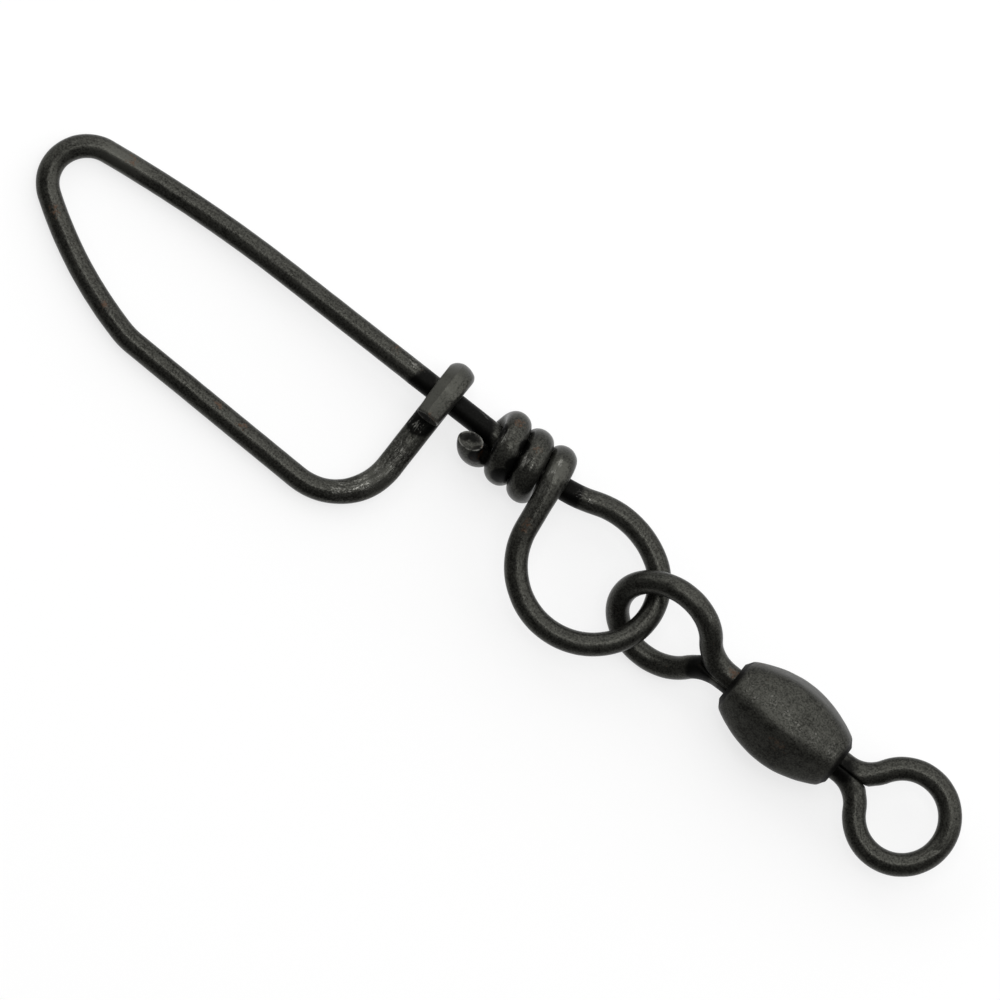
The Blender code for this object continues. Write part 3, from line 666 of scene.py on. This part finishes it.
def makeEye(size, shoulder):
    common = eyeSizes
    eyeR = common["wire"] / 2
    shankR = common["shankWidth"] / 2
    shankY = shankR - eyeR
    ringR = size["insideD"] / 2 + eyeR
    neck = common["neckRadius"]
    reachOut = ringR + neck
    aside = shankY + neck
    lean = size["lean"]
    ringX = size["shankLength"] + math.sqrt(reachOut ** 2 - aside ** 2)
    firstTurn = math.degrees(math.acos((aside - lean) / reachOut))
    lastTurn = math.degrees(math.acos((aside + lean) / reachOut))
    bender = Bender((-common["headLand"], shankY), 0.0)
    bender.runToX(ringX - reachOut * math.sin(math.radians(firstTurn)))
    bender.bend(neck, firstTurn)
    bender.bend(ringR, -firstTurn - 180 - lastTurn)
    bender.bend(neck, lastTurn)
    bender.runToX(-common["headLand"])
    line = bender.line
    width = shankR ** 2
    depth = (common["shankThickness"] / 2) ** 2

    def section(index, angle, reach):
        # round wire, whose legs are pressed together to an oval shank with a groove down its middle
        point = line[index]
        if point.x > ringX:
            return eyeR
        square = math.cos(angle) ** 2 / width + math.sin(angle) ** 2 / depth
        slope = shankY * math.cos(angle) / width
        shank = (math.sqrt(slope ** 2 - square * (shankY ** 2 / width - 1)) - slope) / square
        pressed = 1 - ease((abs(point.y) - shankY) / common["neckBlend"])
        radius = eyeR + (shank - eyeR) * pressed
        if point.y * reach.y >= 0:
            return radius
        toOtherLeg = (abs(point.y) - common["legGap"] / 2) / abs(reach.y)
        sharp = common["edgeSharpness"]
        return (radius ** -sharp + toOtherLeg ** -sharp) ** (-1 / sharp)

    piece = sweepWire(size["piece"], line, (0.0, 1.0, 0.0), section)

    # the head inside the barrel: a cylinder drawn in to a crown and a seat cone
    slope = math.tan(math.radians(common["seatAngle"]))
    cone = (common["headD"] / 2 - shankR) / slope
    bpy.ops.object.select_all(action="DESELECT")
    bpy.ops.mesh.primitive_cylinder_add(vertices=common["headSides"], radius=common["headD"] / 2 * mm,
                                        depth=common["headLand"] * mm, end_fill_type="NGON",
                                        rotation=(0.0, math.pi / 2, 0.0),
                                        location=((-cone - common["headLand"] / 2) * mm, 0.0, 0.0))
    head = bpy.context.view_layer.objects.active
    bpy.ops.object.transform_apply(location=True, rotation=True, scale=True)
    mesh = bmesh.new()
    mesh.from_mesh(head.data)
    back = min(mesh.faces, key=lambda face: face.calc_center_median().x)
    front = max(mesh.faces, key=lambda face: face.calc_center_median().x)
    drawn = (
        (back, -common["headCrown"], common["headD"] / 2 - common["headCrown"]),
        (front, (common["headD"] - common["headRootD"]) / 2 / slope, common["headRootD"] / 2),
    )
    for face, away, radius in drawn:
        pushed = bmesh.ops.extrude_discrete_faces(mesh, faces=[face])["faces"][0]
        for vertex in pushed.verts:
            vertex.co.x += away * mm
            vertex.co.y *= radius / (common["headD"] / 2)
            vertex.co.z *= radius / (common["headD"] / 2)
    mesh.verts.layers.float_vector.new("wireRun")
    mesh.to_mesh(head.data)
    mesh.free()
    selectOnly(piece)
    head.select_set(True)
    bpy.ops.object.join()
    turn = Matrix.Rotation(math.radians(size["turn"]), 4, "Z")
    tilt = Matrix.Rotation(math.radians(size["tilt"]), 4, "X")
    piece.data.transform(Matrix.Translation(shoulder) @ turn @ tilt)
    return piece


print("bending the two eyes")
barrelPlace = joints["barrel_turn"]
lineShoulder = joints["line_eye_turn"]
snapShoulder = barrelPlace + (barrelPlace - lineShoulder) - Vector((eyeSizes["endPlay"] * mm, 0.0, 0.0))
for eye, shoulder, look in ((snapEye, snapShoulder, snapEyeLook), (lineEye, lineShoulder, lineEyeLook)):
    ring = makeEye(eye, shoulder)
    waver(ring, eye["piece"] + "Waver", eyeSizes["waverSize"], eyeSizes["waverStrength"])
    press(ring, eye["marks"])
    dress(ring, blackOxide(eye["piece"] + "Oxide", look), eye["node"], eye["body"])


# barrel

barrel = {
    "creaseAngle": 33.0, "crease": 0.7, "shrinkMakeUp": 0.019, "levels": 3,
    "waverStrength": 0.07, "waverSize": 0.0026,
}
barrelLook = dict(snapLook)
barrelLook.update({
    "followsWire": False,
    "lineStretch": (900.0, 2600.0, 2600.0), "lineDepth": 0.5, "fleckStretch": (3800.0, 4600.0, 4600.0),
    "rubbedSpots": [
        (25.9, 1.8, 6.9, 1.8), (26.7, 1.5, 7.3, 1.8), (28.2, 2.1, 7.5, 1.8), (29.6, 2.2, 7.7, 1.6),
        (30.9, 1.9, 7.8, 1.6), (32.7, 2.0, 7.4, 1.8), (34.6, 1.9, 6.8, 1.8),
    ],
    "rubbedLift": 0.2, "rubbedShare": 0.36,
    "paleSpots": [
        (25.9, 2.0, 6.9, 2.6), (28.2, 2.2, 7.5, 2.6), (30.6, 2.2, 7.7, 2.6), (33.6, 1.9, 7.2, 2.8),
    ],
    "paleLift": 0.14, "mottleDepth": 0.75, "blotchDepth": 0.6,
    # painted shade at the barrel's two mouths, where the eyes' shanks go in
    "paintedShadeSpots": [(24.0, 1.46, 4.0, 3.1), (36.2, 1.46, 4.0, 3.1)],
    "paintedShadeShare": 0.9, "paintedShadeEdge": 0.4,
    "rustSpots": [(30.6, -0.4, 7.3, 1.6), (25.6, 4.1, 4.7, 1.2)],
    "rustShare": 0.3, "roughness": 0.44,
})

print("rounding the barrel")
shell = pieceFromNode("swivel_barrel", "swagedBarrel")
selectOnly(shell)
bpy.ops.object.mode_set(mode="EDIT")
bpy.ops.mesh.select_mode(type="EDGE")
bpy.ops.mesh.select_all(action="DESELECT")
bpy.ops.mesh.edges_select_sharp(sharpness=math.radians(barrel["creaseAngle"]))
bpy.ops.transform.edge_crease(value=barrel["crease"])
bpy.ops.mesh.select_all(action="SELECT")
# the subdivision draws the skin in a little, so it is let out first
bpy.ops.transform.shrink_fatten(value=barrel["shrinkMakeUp"] * mm)
bpy.ops.object.mode_set(mode="OBJECT")
applyModifier(shell, "SUBSURF", {"levels": barrel["levels"], "render_levels": barrel["levels"]})
waver(shell, "barrelWaver", barrel["waverSize"], barrel["waverStrength"])
dress(shell, blackOxide("barrelBlackOxide", barrelLook), "swivel_barrel", "barrel")


# floor, lamps and camera

studio = {
    "floorColour": (0.97, 0.97, 0.97, 1.0), "floorRoughness": 0.9, "floorSize": 3.0, "floorDrop": 0.02,
    "shadowShare": 0.26,
    "worldColour": (1.0, 1.0, 1.0, 1.0), "worldStrength": 0.13,
    "softbox": {"place": (0.1, 0.6, 0.48), "aim": (0.0, 0.0, 0.0), "size": (2.3, 1.1), "power": 15.0},
    "sideBox": {"place": (-0.67, 0.15, 0.36), "aim": (0.0, 0.0, 0.0), "size": (0.6, 0.7), "power": 1.5},
    "crownStrip": {"place": (0.02, 0.12, 0.72), "aim": (0.0, 0.0, 0.0), "size": (0.46, 0.14), "power": 1.35},
    "cameraTarget": (0.00002, 0.00142, 0.0), "cameraHeight": 1.6, "viewWidth": 0.08333, "roll": 38.1,
    "sensorWidth": 36.0, "clipStart": 0.05, "clipEnd": 20.0,
}

print("setting up the floor, lamps and camera")
bpy.ops.object.select_all(action="DESELECT")
bpy.ops.mesh.primitive_plane_add(size=studio["floorSize"], location=(0.0, 0.0, -studio["floorDrop"] * mm))
floor = bpy.context.view_layer.objects.active
floor.name = "paleFloor"
floorFinish = Finish("paleFloor")
floorFinish.feed(floorFinish.shader.inputs["Base Color"], studio["floorColour"])
floorFinish.feed(floorFinish.shader.inputs["Roughness"], studio["floorRoughness"])
floorFinish.feed(floorFinish.shader.inputs["Specular IOR Level"], 0.0)
# seen by the camera, in the metal or through it, the floor is paper white with a lighter shadow
seen = floorFinish.node("ShaderNodeLightPath", {}, {}, output="Is Camera Ray")
for ray in ("Is Glossy Ray", "Is Transmission Ray"):
    seen = floorFinish.maths("MAXIMUM", seen, floorFinish.node("ShaderNodeLightPath", {}, {}, output=ray))
whitePaper = floorFinish.node("ShaderNodeEmission", {}, {"Color": (1.0, 1.0, 1.0, 1.0), "Strength": 1.0})
litPaper = Signal(floorFinish, floorFinish.shader.outputs["BSDF"])
paper = floorFinish.node("ShaderNodeMixShader", {}, {
    0: seen * (1 - studio["shadowShare"]), 1: litPaper, 2: whitePaper,
})
floorFinish.feed(floorFinish.tree.nodes["Material Output"].inputs["Surface"], paper)
floor.data.materials.append(floorFinish.material)

world = bpy.data.worlds.new("softStudio")
world.use_nodes = True
world.node_tree.nodes["Background"].inputs["Color"].default_value = studio["worldColour"]
world.node_tree.nodes["Background"].inputs["Strength"].default_value = studio["worldStrength"]
bpy.context.scene.world = world


def addSoftbox(name, lamp):
    bpy.ops.object.select_all(action="DESELECT")
    bpy.ops.object.light_add(type="AREA", location=lamp["place"])
    added = bpy.context.view_layer.objects.active
    added.name = name
    added.data.shape = "RECTANGLE"
    added.data.size, added.data.size_y = lamp["size"]
    added.data.energy = lamp["power"]
    aim = Vector(lamp["aim"]) - Vector(lamp["place"])
    added.rotation_euler = aim.to_track_quat("-Z", "Y").to_euler()


for name in ("softbox", "sideBox", "crownStrip"):
    addSoftbox(name, studio[name])

bpy.ops.object.camera_add(location=Vector(studio["cameraTarget"]) + Vector((0.0, 0.0, studio["cameraHeight"])),
                          rotation=(0.0, 0.0, math.radians(studio["roll"])))
camera = bpy.context.view_layer.objects.active
camera.data.sensor_width = studio["sensorWidth"]
camera.data.lens = studio["sensorWidth"] * studio["cameraHeight"] / studio["viewWidth"]
camera.data.clip_start = studio["clipStart"]
camera.data.clip_end = studio["clipEnd"]
bpy.context.scene.camera = camera
bpy.context.scene.view_settings.view_transform = "Standard"

bpy.context.view_layer.update()
